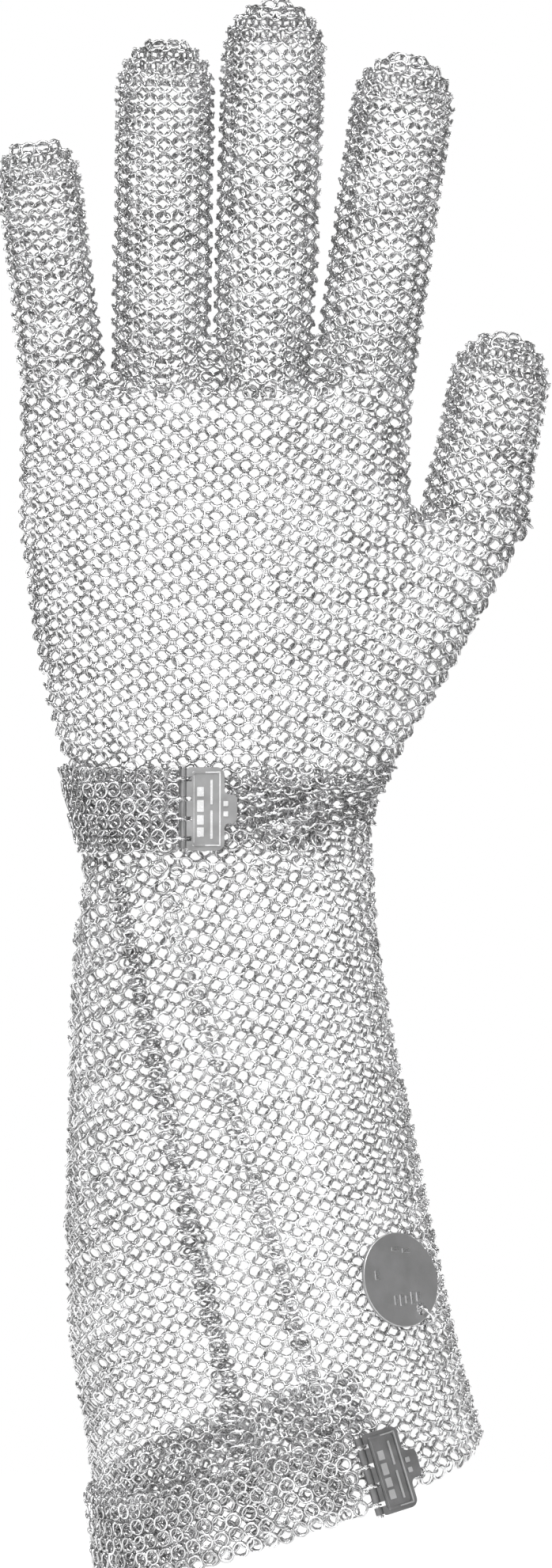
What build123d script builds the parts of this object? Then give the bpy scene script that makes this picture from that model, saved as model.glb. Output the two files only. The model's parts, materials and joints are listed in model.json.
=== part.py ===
"""Long-cuffed ring-mail glove for the left hand, shaped as it is worn.

Millimetres, +Z from the cuff opening to the fingertips, +X towards the thumb, the back of
the hand facing -Y and the palm +Y. The origin is the middle of the cuff opening.
Each panel of mail is a closed shell as thick as its interlinked rings lie. The clasps,
their hinge wires and hooks, the size tag and its ring are solid metal.
"""

import math
import os

from build123d import *

os.makedirs("parts", exist_ok=True)

# ------------------------------------------------------------- driving dimensions
RING_RADIUS = 1.75  # centre of the wire to centre of the ring
WIRE_RADIUS = 0.25
MAIL = 1.6  # one layer of mail
DOUBLE_MAIL = 2.4  # a strap folded from two layers
AIR = 0.4  # between layers that only lie on each other
SPLIT_GAP = 0.5  # half of the gap where one body ends and the next starts

# Level ovals: height, left edge, right edge, depth from back to palm.
SLEEVE_OVALS = (
    (-26, -46, 56, 80),
    (17, -51.8, 48.2, 78),
    (41, -56, 41.6, 76),
    (73, -57.4, 34.8, 71),
    (97, -56.4, 30.2, 66),
    (121, -56.2, 25, 60),
    (145, -55, 21.2, 52),
    (157, -53, 20.6, 48.5),
    (175, -53, 19.6, 46.5),
)
PALM_OVALS = (
    (134, -55.6, 22, 56),
    (157, -53, 20.6, 48.5),
    (169, -52.6, 19.6, 47),
    (185, -56, 20.5, 45),
    (201, -61.2, 25.5, 40.5),
    (225, -66, 29, 35.5),
    (249, -68.8, 30.2, 31.5),
    (270, -68.4, 29.2, 28),
    (283, -69, 30.6, 24),
)
# Thumb root ovals, square to the thumb's bone: x, z, lean from upright, width, depth.
THUMB_ROOT_OVALS = (
    (2, 192, 40, 46, 38),
    (12, 208, 38, 44, 35),
    (24, 222, 34, 38, 30),
    (36, 237, 24, 31, 26),
    (45.5, 250, 12, 27.5, 24),
)
# Stalls: root x, root z, tip x, tip z, root width, middle width, depth, fold height.
STALLS = {
    "little": (-58.4, 288, -65.4, 346.5, 21.4, 21.4, 18.5, 26),
    "ring": (-33.2, 296, -32, 371.5, 24.2, 24.8, 20.5, 34),
    "middle": (-7.2, 300, -4.2, 381, 24.8, 26.2, 21.5, 37),
    "index": (19.6, 297, 29.6, 367.5, 25.2, 26, 20.5, 32),
    "thumb": (46.6, 254, 54.6, 297, 27.2, 25.6, 22, 17),
}
# How far each stall's stump goes down into the hand.
STUB_DEPTHS = {"little": 9, "ring": 17, "middle": 21, "index": 18, "thumb": 7}
OVAL_POWER = 2.3  # 2 is an ellipse, more is squarer
OVAL_POINTS = 20
DOME_STEPS = 5  # ovals in a rounded fingertip

# Folds
FOLD_TOWARDS_PALM = 0.7  # of the half depth, from the stall's axis to its fold line
STALL_FOLD = 75  # degrees
THUMB_FOLD = 60
WRIST_Z = 151
WRIST_FOLD = 50
WRIST_X = -16.4

# Cuff opening and the straps with their clasps
HEM_SLOPE_X = 0.342
HEM_SLOPE_Y = 0.167
STRAP_WIDTH = 22
WRIST_STRAP_Z = 176.5
GUSSET_LEFT = ((-44, 157), (-14, 21))  # its seam lines: x and z of two points
GUSSET_RIGHT = ((-31, 157), (10, 17))

WRIST_CLASP_AT = (-21.7, 176.5, 0)  # x, z, lean of the plate's long side
HEM_CLASP_AT = (23.6, 10.4, -17)
STRAP_END = 7.6  # from the plate's middle back to the strap's end
STRAP_SEAM_X = {"wrist": 8, "hem": 26}  # where a strap is linked in on the palm side

PLATE_WIDTH = 9.2
PLATE_LENGTH = 21
PLATE_SHEET = 0.8
PLATE_RISE = 1.5  # underside above the mail
TAB_REACH = 3.2
TAB_HALF = 3.6
BEAD_INSET = 1
BEAD_WIDTH = 0.5
BEAD_HEIGHT = 0.3
WIRE_PIN_RADIUS = 0.5
PIN_CLEARANCE = 0.05
EYE_WALL = 0.5
PIN_AT = -5.9  # across the plate
PIN_RISE = 1.9
LINKS_AT = (-7.5, -2.5, 2.5, 7.5)  # along the plate
LINK_OFFSET = 0.9  # a link ring's centre behind the pin's
LINK_WINDOW = 1.2
LINK_SWEEP = 2.3  # clear of the link rings while the plate swings
HOOK_LEG = 0.7

EDGE_RING_PITCH = 4.6
EDGE_RINGS_FROM, EDGE_RINGS_TO = 38, 136

TAG_AT = (26.4, 58)  # x, z
TAG_HOLE_WAY = (7.2, -9.4)  # from the tag's middle towards its hole, across and up
TAG_RADIUS = 12
TAG_THICKNESS = 1
TAG_HOLE_RADIUS = 1.6
TAG_HOLE_AT = 9.4
TAG_RING_RADIUS = 2.3
TAG_WIRE_RADIUS = 0.35

FAR = 300  # longer than the glove's half


# ------------------------------------------------------------------- shape helpers
def oval_points(width, depth):
    """Points round a rounded oval that is a little squarer than an ellipse."""
    points = []
    for n in range(OVAL_POINTS):
        turn = 2 * math.pi * (n + 0.5) / OVAL_POINTS
        c, s = math.cos(turn), math.sin(turn)
        x = math.copysign(abs(c) ** (2 / OVAL_POWER), c) * width / 2
        y = math.copysign(abs(s) ** (2 / OVAL_POWER), s) * depth / 2
        points.append((x, y))
    return points


def oval_loft(ovals):
    """Solid through ovals, each a plane with a width and a depth."""
    with BuildPart() as solid:
        for plane, width, depth in ovals:
            with BuildSketch(plane):
                with BuildLine():
                    Spline(*oval_points(width, depth), periodic=True)
                make_face()
        loft(ruled=True)
    return solid.part


def level_ovals(sections, inset=0.0, top=0.0):
    """The ovals of a level-sectioned tube, shrunk by inset, its top lowered by top."""
    ovals = []
    for height, left, right, depth in sections:
        height = min(height, sections[-1][0] - top)
        plane = Plane(((left + right) / 2, 0, height))
        ovals.append((plane, right - left - 2 * inset, depth - 2 * inset))
    return ovals


def leaning_plane(x, z, lean):
    """Plane square to a direction that leans from +Z towards +X by lean degrees."""
    a = math.radians(lean)
    return Plane(
        (x, 0, z),
        x_dir=(math.cos(a), 0, -math.sin(a)),
        z_dir=(math.sin(a), 0, math.cos(a)),
    )


def thumb_root_ovals(inset=0.0):
    return [
        (leaning_plane(x, z, lean), width - 2 * inset, depth - 2 * inset)
        for x, z, lean, width, depth in THUMB_ROOT_OVALS
    ]


def stall_frame(name):
    """Plane at a stall's root, +Z along the stall, and the stall's length."""
    root_x, root_z, tip_x, tip_z = STALLS[name][:4]
    lean = math.degrees(math.atan2(tip_x - root_x, tip_z - root_z))
    length = math.hypot(tip_x - root_x, tip_z - root_z)
    return leaning_plane(root_x, root_z, lean), length


def stall_ovals(name, inset=0.0):
    """Ovals of a stall, from just past its root to its rounded tip."""
    plane, length = stall_frame(name)
    root, middle, depth = STALLS[name][4:7]
    dome = 0.5 * middle
    straight = length - dome
    ovals = [
        (plane.offset(-2 - inset), root - 2 * inset, depth - 2 * inset),
        (plane.offset(0.5 * straight), middle - 2 * inset, depth - 2 * inset),
    ]
    for step in range(DOME_STEPS + 1):
        turn = math.radians(80) * step / DOME_STEPS
        height = straight + (dome - inset) * math.sin(turn) / math.sin(math.radians(80))
        width = (middle - 2 * inset) * math.cos(turn)
        ovals.append((plane.offset(height), width, (depth - 2 * inset) * math.cos(turn)))
    return ovals


def stall_prism(name, inset, low, high):
    """Straight oval block on a stall's axis, from one distance past its root to another."""
    plane, _ = stall_frame(name)
    root, _, depth = STALLS[name][4:7]
    with BuildPart() as prism:
        with BuildSketch(plane.offset(low)):
            with BuildLine():
                Spline(*oval_points(root - 2 * inset, depth - 2 * inset), periodic=True)
            make_face()
        extrude(amount=high - low)
    return prism.part


def fold_wedge(plane, half_depth, degrees, upper):
    """Block that trims a tube at a fold line across it: all above, or all below.

    The fold line lies towards the palm. Past it the cut leans away by half of the fold,
    so that the two ends close up there when the tube bends that far.
    """
    line = FOLD_TOWARDS_PALM * half_depth
    reach = 3 * half_depth
    side = 1 if upper else -1
    spread = (reach - line) * math.tan(math.radians(degrees / 2))
    # seen along the fold line: x is towards the palm, y up the tube
    view = Plane(plane.origin, x_dir=plane.y_dir, z_dir=plane.x_dir)
    with BuildPart() as block:
        with BuildSketch(view):
            with BuildLine():
                Polyline(
                    (-reach, side * SPLIT_GAP),
                    (line, side * SPLIT_GAP),
                    (reach, side * (SPLIT_GAP + spread)),
                    (reach, -side * FAR),
                    (-reach, -side * FAR),
                    close=True,
                )
            make_face()
        extrude(amount=40, both=True)
    return block.part


def wrist_wedge(upper):
    """Block that trims the tube at the wrist: all below the hand, or all above the sleeve."""
    side = 1 if upper else -1
    reach = 60
    spread = reach * math.tan(math.radians(WRIST_FOLD / 2))
    with BuildPart() as block:
        with BuildSketch(Plane.YZ):
            with BuildLine():
                Polyline(
                    (-reach, WRIST_Z + side * (SPLIT_GAP + spread)),
                    (0, WRIST_Z + side * SPLIT_GAP),
                    (reach, WRIST_Z + side * (SPLIT_GAP + spread)),
                    (reach, WRIST_Z - side * FAR),
                    (-reach, WRIST_Z - side * FAR),
                    close=True,
                )
            make_face()
        extrude(amount=100, both=True)
    return block.part


def line_x(line, height):
    """Where a seam line, seen from the front, is at a height."""
    (x0, z0), (x1, z1) = line
    return x0 + (x1 - x0) * (height - z0) / (z1 - z0)


def front_slab(left_line, right_line):
    """Block over the back-of-hand half of the sleeve, between two lines seen from the front."""
    low, high = -80, 240
    with BuildPart() as block:
        with BuildSketch(Plane.XZ):
            with BuildLine():
                Polyline(
                    (line_x(left_line, low), low),
                    (line_x(right_line, low), low),
                    (line_x(right_line, high), high),
                    (line_x(left_line, high), high),
                    close=True,
                )
            make_face()
        extrude(amount=80)
    return block.part


def save(solid, name):
    solid.label = name
    export_step(solid, f"parts/{name}.step")


LEFT_OF_ALL = ((-120, 0), (-120, 100))
RIGHT_OF_ALL = ((120, 0), (120, 100))

hem_normal = Vector(-HEM_SLOPE_X, -HEM_SLOPE_Y, 1).normalized()
hem_plane = Plane((0, 0, 0), x_dir=(1, 0, HEM_SLOPE_X), z_dir=hem_normal)

# ------------------------------------------------------------------ sleeve panels
with BuildPart() as sleeve_tube:
    add(oval_loft(level_ovals(SLEEVE_OVALS)))
    add(oval_loft(level_ovals(SLEEVE_OVALS, MAIL)), mode=Mode.SUBTRACT)
    split(bisect_by=hem_plane, keep=Keep.TOP)

with BuildPart() as sleeve_body:
    add(sleeve_tube.part)
    add(wrist_wedge(upper=False), mode=Mode.SUBTRACT)

with BuildPart() as sleeve_palm_panel:
    add(sleeve_body.part)
    split(bisect_by=Plane.XZ, keep=Keep.BOTTOM)
save(sleeve_palm_panel.part, "sleeve_palm_panel")

for name, left_line, right_line in (
    ("sleeve_left_panel", LEFT_OF_ALL, GUSSET_LEFT),
    ("sleeve_gusset", GUSSET_LEFT, GUSSET_RIGHT),
    ("sleeve_right_panel", GUSSET_RIGHT, RIGHT_OF_ALL),
):
    with BuildPart() as sleeve_panel:
        add(sleeve_body.part)
        add(front_slab(left_line, right_line), mode=Mode.INTERSECT)
    save(sleeve_panel.part, name)

# The mail that folds at the wrist fills the gap between the sleeve and the hand.
with BuildPart() as wrist_fold_band:
    add(sleeve_tube.part)
    split(bisect_by=Plane.XY.offset(WRIST_Z - 20), keep=Keep.TOP)
    add(sleeve_body.part, mode=Mode.SUBTRACT)
    with Locations((0, 0, -AIR)):
        add(wrist_wedge(upper=True), mode=Mode.INTERSECT)
save(wrist_fold_band.part, "wrist_fold_band")

# ------------------------------------------------------------------------- hand
def stall_part(name, inset=0.0):
    return oval_loft(stall_ovals(name, inset))


def stall_fold(name, raised, upper):
    """The block that trims a stall at its root fold (raised 0) or its middle fold."""
    plane, _ = stall_frame(name)
    angle = THUMB_FOLD if name == "thumb" else STALL_FOLD
    return fold_wedge(plane.offset(raised), STALLS[name][6] / 2, angle, upper)


def stall_stub(name):
    """The solid stump that a stall rises from."""
    with BuildPart() as stub:
        add(stall_prism(name, 0, -STUB_DEPTHS[name], 0))
        add(stall_fold(name, 0, upper=False), mode=Mode.SUBTRACT)
    return stub.part


with BuildPart() as hand_solid:
    add(oval_loft(level_ovals(PALM_OVALS)))
    add(oval_loft(thumb_root_ovals()))
    for name in STALLS:
        add(stall_stub(name))

with BuildPart() as hand_hollow:
    add(oval_loft(level_ovals(PALM_OVALS, MAIL, top=MAIL)))
    add(oval_loft(thumb_root_ovals(MAIL)))
    for name in STALLS:
        add(stall_prism(name, MAIL, -STUB_DEPTHS[name] - 4, 6))

with BuildPart() as hand_shell:
    add(hand_solid.part)
    add(hand_hollow.part, mode=Mode.SUBTRACT)
    add(wrist_wedge(upper=True), mode=Mode.SUBTRACT)

for name, side in (("hand_back_panel", Keep.TOP), ("hand_palm_panel", Keep.BOTTOM)):
    with BuildPart() as hand_panel:
        add(hand_shell.part)
        split(bisect_by=Plane.XZ, keep=side)
    save(hand_panel.part, name)

# ---------------------------------------------------------------- stalls, two each
for name, (*_, fold_height) in STALLS.items():
    with BuildPart() as stall:
        add(stall_part(name))
        add(stall_part(name, MAIL), mode=Mode.SUBTRACT)

    with BuildPart() as lower_stall:
        add(stall.part)
        add(stall_fold(name, 0, upper=True), mode=Mode.SUBTRACT)
        add(stall_fold(name, fold_height, upper=False), mode=Mode.SUBTRACT)
    save(lower_stall.part, f"{name}_lower_stall")

    with BuildPart() as upper_stall:
        add(stall.part)
        add(stall_fold(name, fold_height, upper=True), mode=Mode.SUBTRACT)
    save(upper_stall.part, f"{name}_upper_stall")


# ------------------------------------------------------------------ on the surface
def oval_level(sections, x, y, z):
    """0 on the tube's outer surface, more outside it."""
    low, high = next(
        (a, b) for a, b in zip(sections, sections[1:]) if z <= b[0] or b is sections[-1]
    )
    share = (z - low[0]) / (high[0] - low[0])
    left, right, depth = (p + (q - p) * share for p, q in zip(low[1:], high[1:]))
    across = abs(x - (left + right) / 2) / ((right - left) / 2)
    return across**OVAL_POWER + (abs(y) / (depth / 2)) ** OVAL_POWER - 1


def back_surface(sections, x, z, lean=0.0):
    """Plane lying on the back-of-hand side at x, z: +Z outward, +X across to the right."""
    near, far = -60.0, 0.0
    for _ in range(40):
        y = (near + far) / 2
        if oval_level(sections, x, y, z) > 0:
            near = y
        else:
            far = y
    step = 0.5
    slope = [
        oval_level(sections, x + dx, y + dy, z + dz)
        - oval_level(sections, x - dx, y - dy, z - dz)
        for dx, dy, dz in ((step, 0, 0), (0, step, 0), (0, 0, step))
    ]
    normal = Vector(*slope).normalized()
    a = math.radians(lean)
    up = Vector(math.sin(a), 0, math.cos(a))
    return Plane((x, y, z), x_dir=up.cross(normal), z_dir=normal)



wrist_clasp_plane = back_surface(PALM_OVALS, *WRIST_CLASP_AT).offset(AIR)
hem_clasp_plane = back_surface(SLEEVE_OVALS, *HEM_CLASP_AT).offset(2 * AIR)
tag_plane = back_surface(SLEEVE_OVALS, *TAG_AT).offset(AIR)


# ------------------------------------------------------------------------- straps
def strap_part(sections, middle, clasp_plane, seam_x):
    """Doubled strap round a tube, in a slab along the middle plane, open behind its clasp."""
    end = middle.to_local_coords(clasp_plane.origin).X - STRAP_END
    with BuildPart() as strap:
        add(oval_loft(level_ovals(sections, -AIR - DOUBLE_MAIL)))
        add(oval_loft(level_ovals(sections, -AIR)), mode=Mode.SUBTRACT)
        split(bisect_by=middle.offset(STRAP_WIDTH / 2), keep=Keep.BOTTOM)
        split(bisect_by=middle.offset(-STRAP_WIDTH / 2), keep=Keep.TOP)
        with BuildSketch(middle):
            with Locations((end + FAR / 2, -FAR / 2)):
                Rectangle(FAR, FAR)
            with Locations((seam_x + FAR / 2, FAR / 2)):
                Rectangle(FAR, FAR)
        extrude(amount=2 * STRAP_WIDTH, both=True, mode=Mode.SUBTRACT)
    return strap.part


wrist_middle = Plane.XY.offset(WRIST_CLASP_AT[1])
hem_middle = hem_plane.offset(STRAP_WIDTH / 2)
save(strap_part(PALM_OVALS, wrist_middle, wrist_clasp_plane, STRAP_SEAM_X["wrist"]), "wrist_strap")
save(strap_part(SLEEVE_OVALS, hem_middle, hem_clasp_plane, STRAP_SEAM_X["hem"]), "hem_strap")


# ------------------------------------------------------------------------- clasps
# A clasp's plane lies on the mail: X across to its tab, Y along the plate, Z outward.
def across(plane, x=0.0, along=0.0, rise=0.0):
    """Plane square to the plate's long side, X across it and Y outward."""
    origin = plane.from_local_coords(Vector(x, along, rise))
    return Plane(origin, x_dir=plane.x_dir, z_dir=-plane.y_dir)


def plate_outline(half_x, half_y):
    """Sketch of the plate and its tab, with every corner rounded."""
    with BuildSketch() as outline:
        Rectangle(2 * half_x, 2 * half_y)
        with Locations((half_x, 0)):
            Rectangle(2 * TAB_REACH, 2 * TAB_HALF)
        for x, y, radius in (
            (half_x + TAB_REACH, TAB_HALF, 1.2),
            (half_x, TAB_HALF, 1.4),
            (half_x, half_y, 2),
            (-half_x, half_y, 0.5),
        ):
            corners = outline.vertices().filter_by(
                lambda v, x=x, y=y: abs(v.X - x) + abs(abs(v.Y) - y) < 0.01
            )
            fillet(corners, radius)
    return outline.sketch


def clasp_plate(plane):
    """Stamped plate with a raised bead, a tab to pull, and eyes rolled round the wire."""
    half_x, half_y = PLATE_WIDTH / 2, PLATE_LENGTH / 2
    window_left, window_right = PIN_AT - 2, PIN_AT + LINK_SWEEP
    bead_x, bead_y = PLATE_WIDTH - 2 * BEAD_INSET, PLATE_LENGTH - 2 * BEAD_INSET
    with BuildPart() as plate:
        with BuildSketch(plane.offset(PLATE_RISE)):
            add(plate_outline(half_x, half_y))
        extrude(amount=PLATE_SHEET)
        with BuildSketch(plane.offset(PLATE_RISE + PLATE_SHEET)):
            RectangleRounded(bead_x, bead_y, 1.2)
            RectangleRounded(
                bead_x - 2 * BEAD_WIDTH, bead_y - 2 * BEAD_WIDTH, 0.8, mode=Mode.SUBTRACT
            )
        extrude(amount=BEAD_HEIGHT)
        with BuildSketch(across(plane)):
            with Locations((PIN_AT, PIN_RISE)):
                Circle(WIRE_PIN_RADIUS + PIN_CLEARANCE + EYE_WALL)
            with Locations(((PIN_AT - half_x) / 2, PIN_RISE)):
                Rectangle(abs(PIN_AT + half_x) + 0.4, PLATE_SHEET)
        extrude(amount=half_y - 0.5, both=True)
        with BuildSketch(plane):
            for along in LINKS_AT:
                with Locations(((window_left + window_right) / 2, along)):
                    Rectangle(window_right - window_left, LINK_WINDOW)
        extrude(amount=4, mode=Mode.SUBTRACT)
        with BuildSketch(across(plane, PIN_AT, 0, PIN_RISE)):
            Circle(WIRE_PIN_RADIUS + PIN_CLEARANCE)
        extrude(amount=half_y, both=True, mode=Mode.SUBTRACT)
    return plate.part


def clasp_wire(plane):
    """Hinge wire, upset at both ends so that it stays in its eyes."""
    reach = PLATE_LENGTH / 2 - 0.3
    with BuildPart() as wire:
        with BuildSketch(across(plane, PIN_AT, 0, PIN_RISE)):
            Circle(WIRE_PIN_RADIUS)
        extrude(amount=reach, both=True)
        for along in (reach + 0.25, -reach - 0.25):
            with BuildSketch(across(plane, PIN_AT, along, PIN_RISE)):
                Circle(0.85)
            extrude(amount=0.25, both=True)
    return wire.part


def clasp_hooks(plane):
    """Plate spot-welded under the clasp, with two hooks that catch rings of the mail."""
    with BuildPart() as hooks:
        with BuildSketch(plane.offset(PLATE_RISE - 0.5)):
            with Locations((2, 0)):
                RectangleRounded(3.4, 15, 0.6)
        extrude(amount=0.5)
        for along in (-5, 5):
            with BuildSketch(across(plane, 0, along)):
                with BuildLine():
                    Polyline(
                        (3.5, PLATE_RISE - 0.3),
                        (3.5, 0.15),
                        (1.2, 0.15),
                        (1.2, 0.15 + 0.5),
                        (3.5 - HOOK_LEG, 0.15 + 0.5),
                        (3.5 - HOOK_LEG, PLATE_RISE - 0.3),
                        close=True,
                    )
                make_face()
            extrude(amount=0.7, both=True)
    return hooks.part


def clasp_links(plane):
    """Rings at the strap's end, threaded on the hinge wire."""
    with BuildPart() as links:
        for along in LINKS_AT:
            with Locations(across(plane, PIN_AT - LINK_OFFSET, along, PIN_RISE)):
                Torus(RING_RADIUS, WIRE_RADIUS)
    return links.part


for clasp, plane in (("wrist_clasp", wrist_clasp_plane), ("hem_clasp", hem_clasp_plane)):
    save(clasp_plate(plane), f"{clasp}_plate")
    save(clasp_wire(plane), f"{clasp}_wire")
    save(clasp_hooks(plane), f"{clasp}_hooks")
    save(clasp_links(plane), f"{clasp}_links")

# ---------------------------------------------------------- size tag and its ring
hole_way = Vector(*TAG_HOLE_WAY, 0).normalized()
hole_place = hole_way * TAG_HOLE_AT
ring_place = hole_way * (TAG_HOLE_AT + TAG_RING_RADIUS) + Vector(0, 0, TAG_THICKNESS / 2)

with BuildPart() as size_tag:
    with BuildSketch(tag_plane):
        Circle(TAG_RADIUS)
        with Locations((hole_place.X, hole_place.Y)):
            Circle(TAG_HOLE_RADIUS, mode=Mode.SUBTRACT)
    extrude(amount=TAG_THICKNESS)
    rims = size_tag.edges().filter_by(GeomType.CIRCLE).filter_by(lambda e: e.radius > TAG_RADIUS - 1)
    chamfer(rims, 0.15)
save(size_tag.part, "size_tag")

outward = tag_plane.z_dir
hole_direction = tag_plane.x_dir * hole_way.X + tag_plane.y_dir * hole_way.Y
ring_plane = Plane(
    tag_plane.from_local_coords(ring_place),
    x_dir=hole_direction,
    z_dir=outward.cross(hole_direction),
)
with BuildPart() as tag_ring:
    with Locations(ring_plane):
        Torus(TAG_RING_RADIUS, TAG_WIRE_RADIUS)
save(tag_ring.part, "tag_ring")

# ---------------------------------------------------- rings along the gusset's edge
ring_count = int((EDGE_RINGS_TO - EDGE_RINGS_FROM) / EDGE_RING_PITCH) + 1
with BuildPart() as gusset_edge_rings:
    for n in range(ring_count):
        z = EDGE_RINGS_FROM + n * EDGE_RING_PITCH
        on_mail = back_surface(SLEEVE_OVALS, line_x(GUSSET_RIGHT, z), z)
        with Locations(on_mail.offset(AIR + WIRE_RADIUS)):
            Torus(RING_RADIUS, WIRE_RADIUS)
save(gusset_edge_rings.part, "gusset_edge_rings")
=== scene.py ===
import json
import math

import bmesh
import bpy
import numpy as np
from mathutils import Matrix, Vector
from mathutils.bvhtree import BVHTree


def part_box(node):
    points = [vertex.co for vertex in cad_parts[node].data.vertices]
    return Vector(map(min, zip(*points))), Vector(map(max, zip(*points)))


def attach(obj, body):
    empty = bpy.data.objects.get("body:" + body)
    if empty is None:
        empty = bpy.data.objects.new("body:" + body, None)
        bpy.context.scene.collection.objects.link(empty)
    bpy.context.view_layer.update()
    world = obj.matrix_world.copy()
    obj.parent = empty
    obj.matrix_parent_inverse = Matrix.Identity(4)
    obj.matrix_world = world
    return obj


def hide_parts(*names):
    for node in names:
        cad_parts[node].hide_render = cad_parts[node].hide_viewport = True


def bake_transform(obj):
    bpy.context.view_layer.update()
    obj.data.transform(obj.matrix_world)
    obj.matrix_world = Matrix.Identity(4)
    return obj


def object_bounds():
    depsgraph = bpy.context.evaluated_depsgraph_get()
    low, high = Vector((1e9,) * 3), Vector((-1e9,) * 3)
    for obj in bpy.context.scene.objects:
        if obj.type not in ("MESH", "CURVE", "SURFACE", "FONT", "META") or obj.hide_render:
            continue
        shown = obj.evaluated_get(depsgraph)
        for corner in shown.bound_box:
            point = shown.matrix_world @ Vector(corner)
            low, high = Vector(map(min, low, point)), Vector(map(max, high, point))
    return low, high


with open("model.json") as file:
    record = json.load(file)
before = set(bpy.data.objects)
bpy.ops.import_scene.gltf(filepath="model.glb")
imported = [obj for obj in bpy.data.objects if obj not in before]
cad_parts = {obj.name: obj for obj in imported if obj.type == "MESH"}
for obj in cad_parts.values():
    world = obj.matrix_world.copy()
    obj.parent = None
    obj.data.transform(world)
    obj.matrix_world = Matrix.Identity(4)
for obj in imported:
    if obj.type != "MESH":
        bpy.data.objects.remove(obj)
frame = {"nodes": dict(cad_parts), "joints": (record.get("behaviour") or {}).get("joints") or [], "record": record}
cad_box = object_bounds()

# The glove's mail is built here ring by ring, in metres, on the surfaces of the CAD panels.
# A patch of mail is a net of rings. Its rows lean one way and the other in turn, and every
# second row stands half a ring across. This looks like mail in which each ring links four
# others, but most rings here link fewer, and many neighbouring wires cut into each other.
# The rings behind the hand and sleeve are placed to suit one camera: see twins().

MM = 0.001
rng = np.random.default_rng(20)

# ------------------------------------------------------------------------- sizes
RING_RADIUS = 1.74 * MM  # to the middle of the wire
WIRE_RADIUS = 0.315 * MM
RING_STEPS, WIRE_STEPS = 14, 5
MOST_RINGS = 1250  # in one piece
SINK = 0.75 * MM  # of the rings' centres under the panels' outer surface
TIP_SINK = 1.0 * MM  # on the upper stalls, which close side by side

BODY_PITCH, BODY_ROW = 4.55 * MM, 3.9 * MM  # across and up, on the hand
SLEEVE_PITCH, SLEEVE_ROW = 4.6 * MM, 3.8 * MM
SEAM_SHIFT = 2.4 * MM  # of the net right of the gusset's right seam
STALL_PITCH, STALL_ROW = 4.25 * MM, 3.7 * MM
STALL_RISE = 4.5 * MM  # of a stall's rows, from its middle to its sides
STALL_START = -24 * MM  # of a stall's tracing and rows, from its root
STALL_STEP = 0.8 * MM  # between the levels at which a stall is traced
STALL_TIP = 12 * MM  # from where the rows grow shorter to the tip
STALL_REACH = 30 * MM  # of the rays that trace a stall
STRAP_PITCH, STRAP_ROW = 3.9 * MM, 3.9 * MM
LEAN = math.radians(31)  # of the rings out of the panel's surface
STRAP_LEAN = math.radians(6)
SEAM_LEAN = math.radians(58)
BUNCH_LEAN = math.radians(52)

# Where the mail bunches, a wave moves its rows and lets them sink.
RIPPLE_SHIFT, RIPPLE_SINK = 0.45 * MM, 0.9 * MM

# Loose rings are tried down both sides of the glove, at these insets from the edge. One is
# kept if no other ring is within SIDE_CLEARANCE of it.
SIDE_INSETS = (0, 2, 4, 6)  # mm
SIDE_STEP = 1.3 * MM
SIDE_CLEARANCE = 2.2 * MM
SIDE_REACH = 2.5 * MM  # up and down, to the rings it is compared with

# Seam lines on the front of the sleeve: x and z of two points.
GUSSET_LEFT = ((-44 * MM, 157 * MM), (-14 * MM, 21 * MM))
GUSSET_RIGHT = ((-31 * MM, 157 * MM), (10 * MM, 17 * MM))
ROW_SLOPE = 0.29  # of the rows on the front of the sleeve, up to the right
STRAP_WIDTH = 22 * MM
LEVEL_STEP = 2 * MM  # between the levels at which the hand and sleeve are traced
BODY_REACH = 110 * MM  # of the rays that trace the hand, the sleeve and the straps

ROOM_LIGHT = 0.16  # of the room that the steel mirrors
DISTANCE = 6.0  # of the camera
SHOWN_HEIGHT = 0.3962  # of the photographed frame, at the glove's middle
SHOWN_MIDDLE = np.array([-4.2 * MM, 0, 182.9 * MM])

FINGERS = ("little", "ring", "middle", "index", "thumb")
JOINTS = {j["name"]: j for j in frame["joints"]}
UP, ACROSS, TO_PALM = Vector((0, 0, 1)), Vector((1, 0, 0)), Vector((0, 1, 0))


def joint_at(name):
    return Vector(JOINTS[name]["pos_m"])


def line_x(line, z):
    (x0, z0), (x1, z1) = line
    return x0 + (x1 - x0) * (z - z0) / (z1 - z0)


# ------------------------------------------------------------- tracing the panels
def panel_tree(names):
    """The named CAD panels, ready for rays."""
    corners, faces = [], []
    for name in names:
        mesh = frame["nodes"][name].data
        base = len(corners)
        corners += [v.co.copy() for v in mesh.vertices]
        faces += [[base + i for i in p.vertices] for p in mesh.polygons]
    return BVHTree.FromPolygons(corners, faces)


def bridged(radii):
    """Fills what rays missed, between the panels, from above and below."""
    rows = np.arange(len(radii))
    for column in radii.T:
        hit = column > 0
        if hit.any():
            column[:] = np.interp(rows, rows[hit], column[hit])
    return radii


def trace(tree, middles, across, front, turns, start):
    """Outer radius of a tube at each level and turn, 0 where no ray hits."""
    radii = np.zeros((len(middles), len(turns)))
    for i, middle in enumerate(middles):
        for j, (c, s) in enumerate(turns):
            way = (across * c + front * s).normalized()
            reach = start(middle, way)
            hit = tree.ray_cast(middle + way * reach, -way, reach)[3]
            if hit is not None:
                radii[i, j] = reach - hit
    return radii


def surface_points(middles, across, front, turns, radii):
    ways = np.array([(across * c + front * s).normalized() for c, s in turns])
    return np.array(middles)[:, None] + radii[..., None] * ways[None]


def oval_turns(count, squash=0.45):
    """Directions round an oval, evenly spread along it."""
    turn = 2 * np.pi * np.arange(count) / count
    return list(zip(np.cos(turn), squash * np.sin(turn)))


def unit(v):
    return v / np.maximum(np.linalg.norm(v, axis=-1, keepdims=True), 1e-12)


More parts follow.
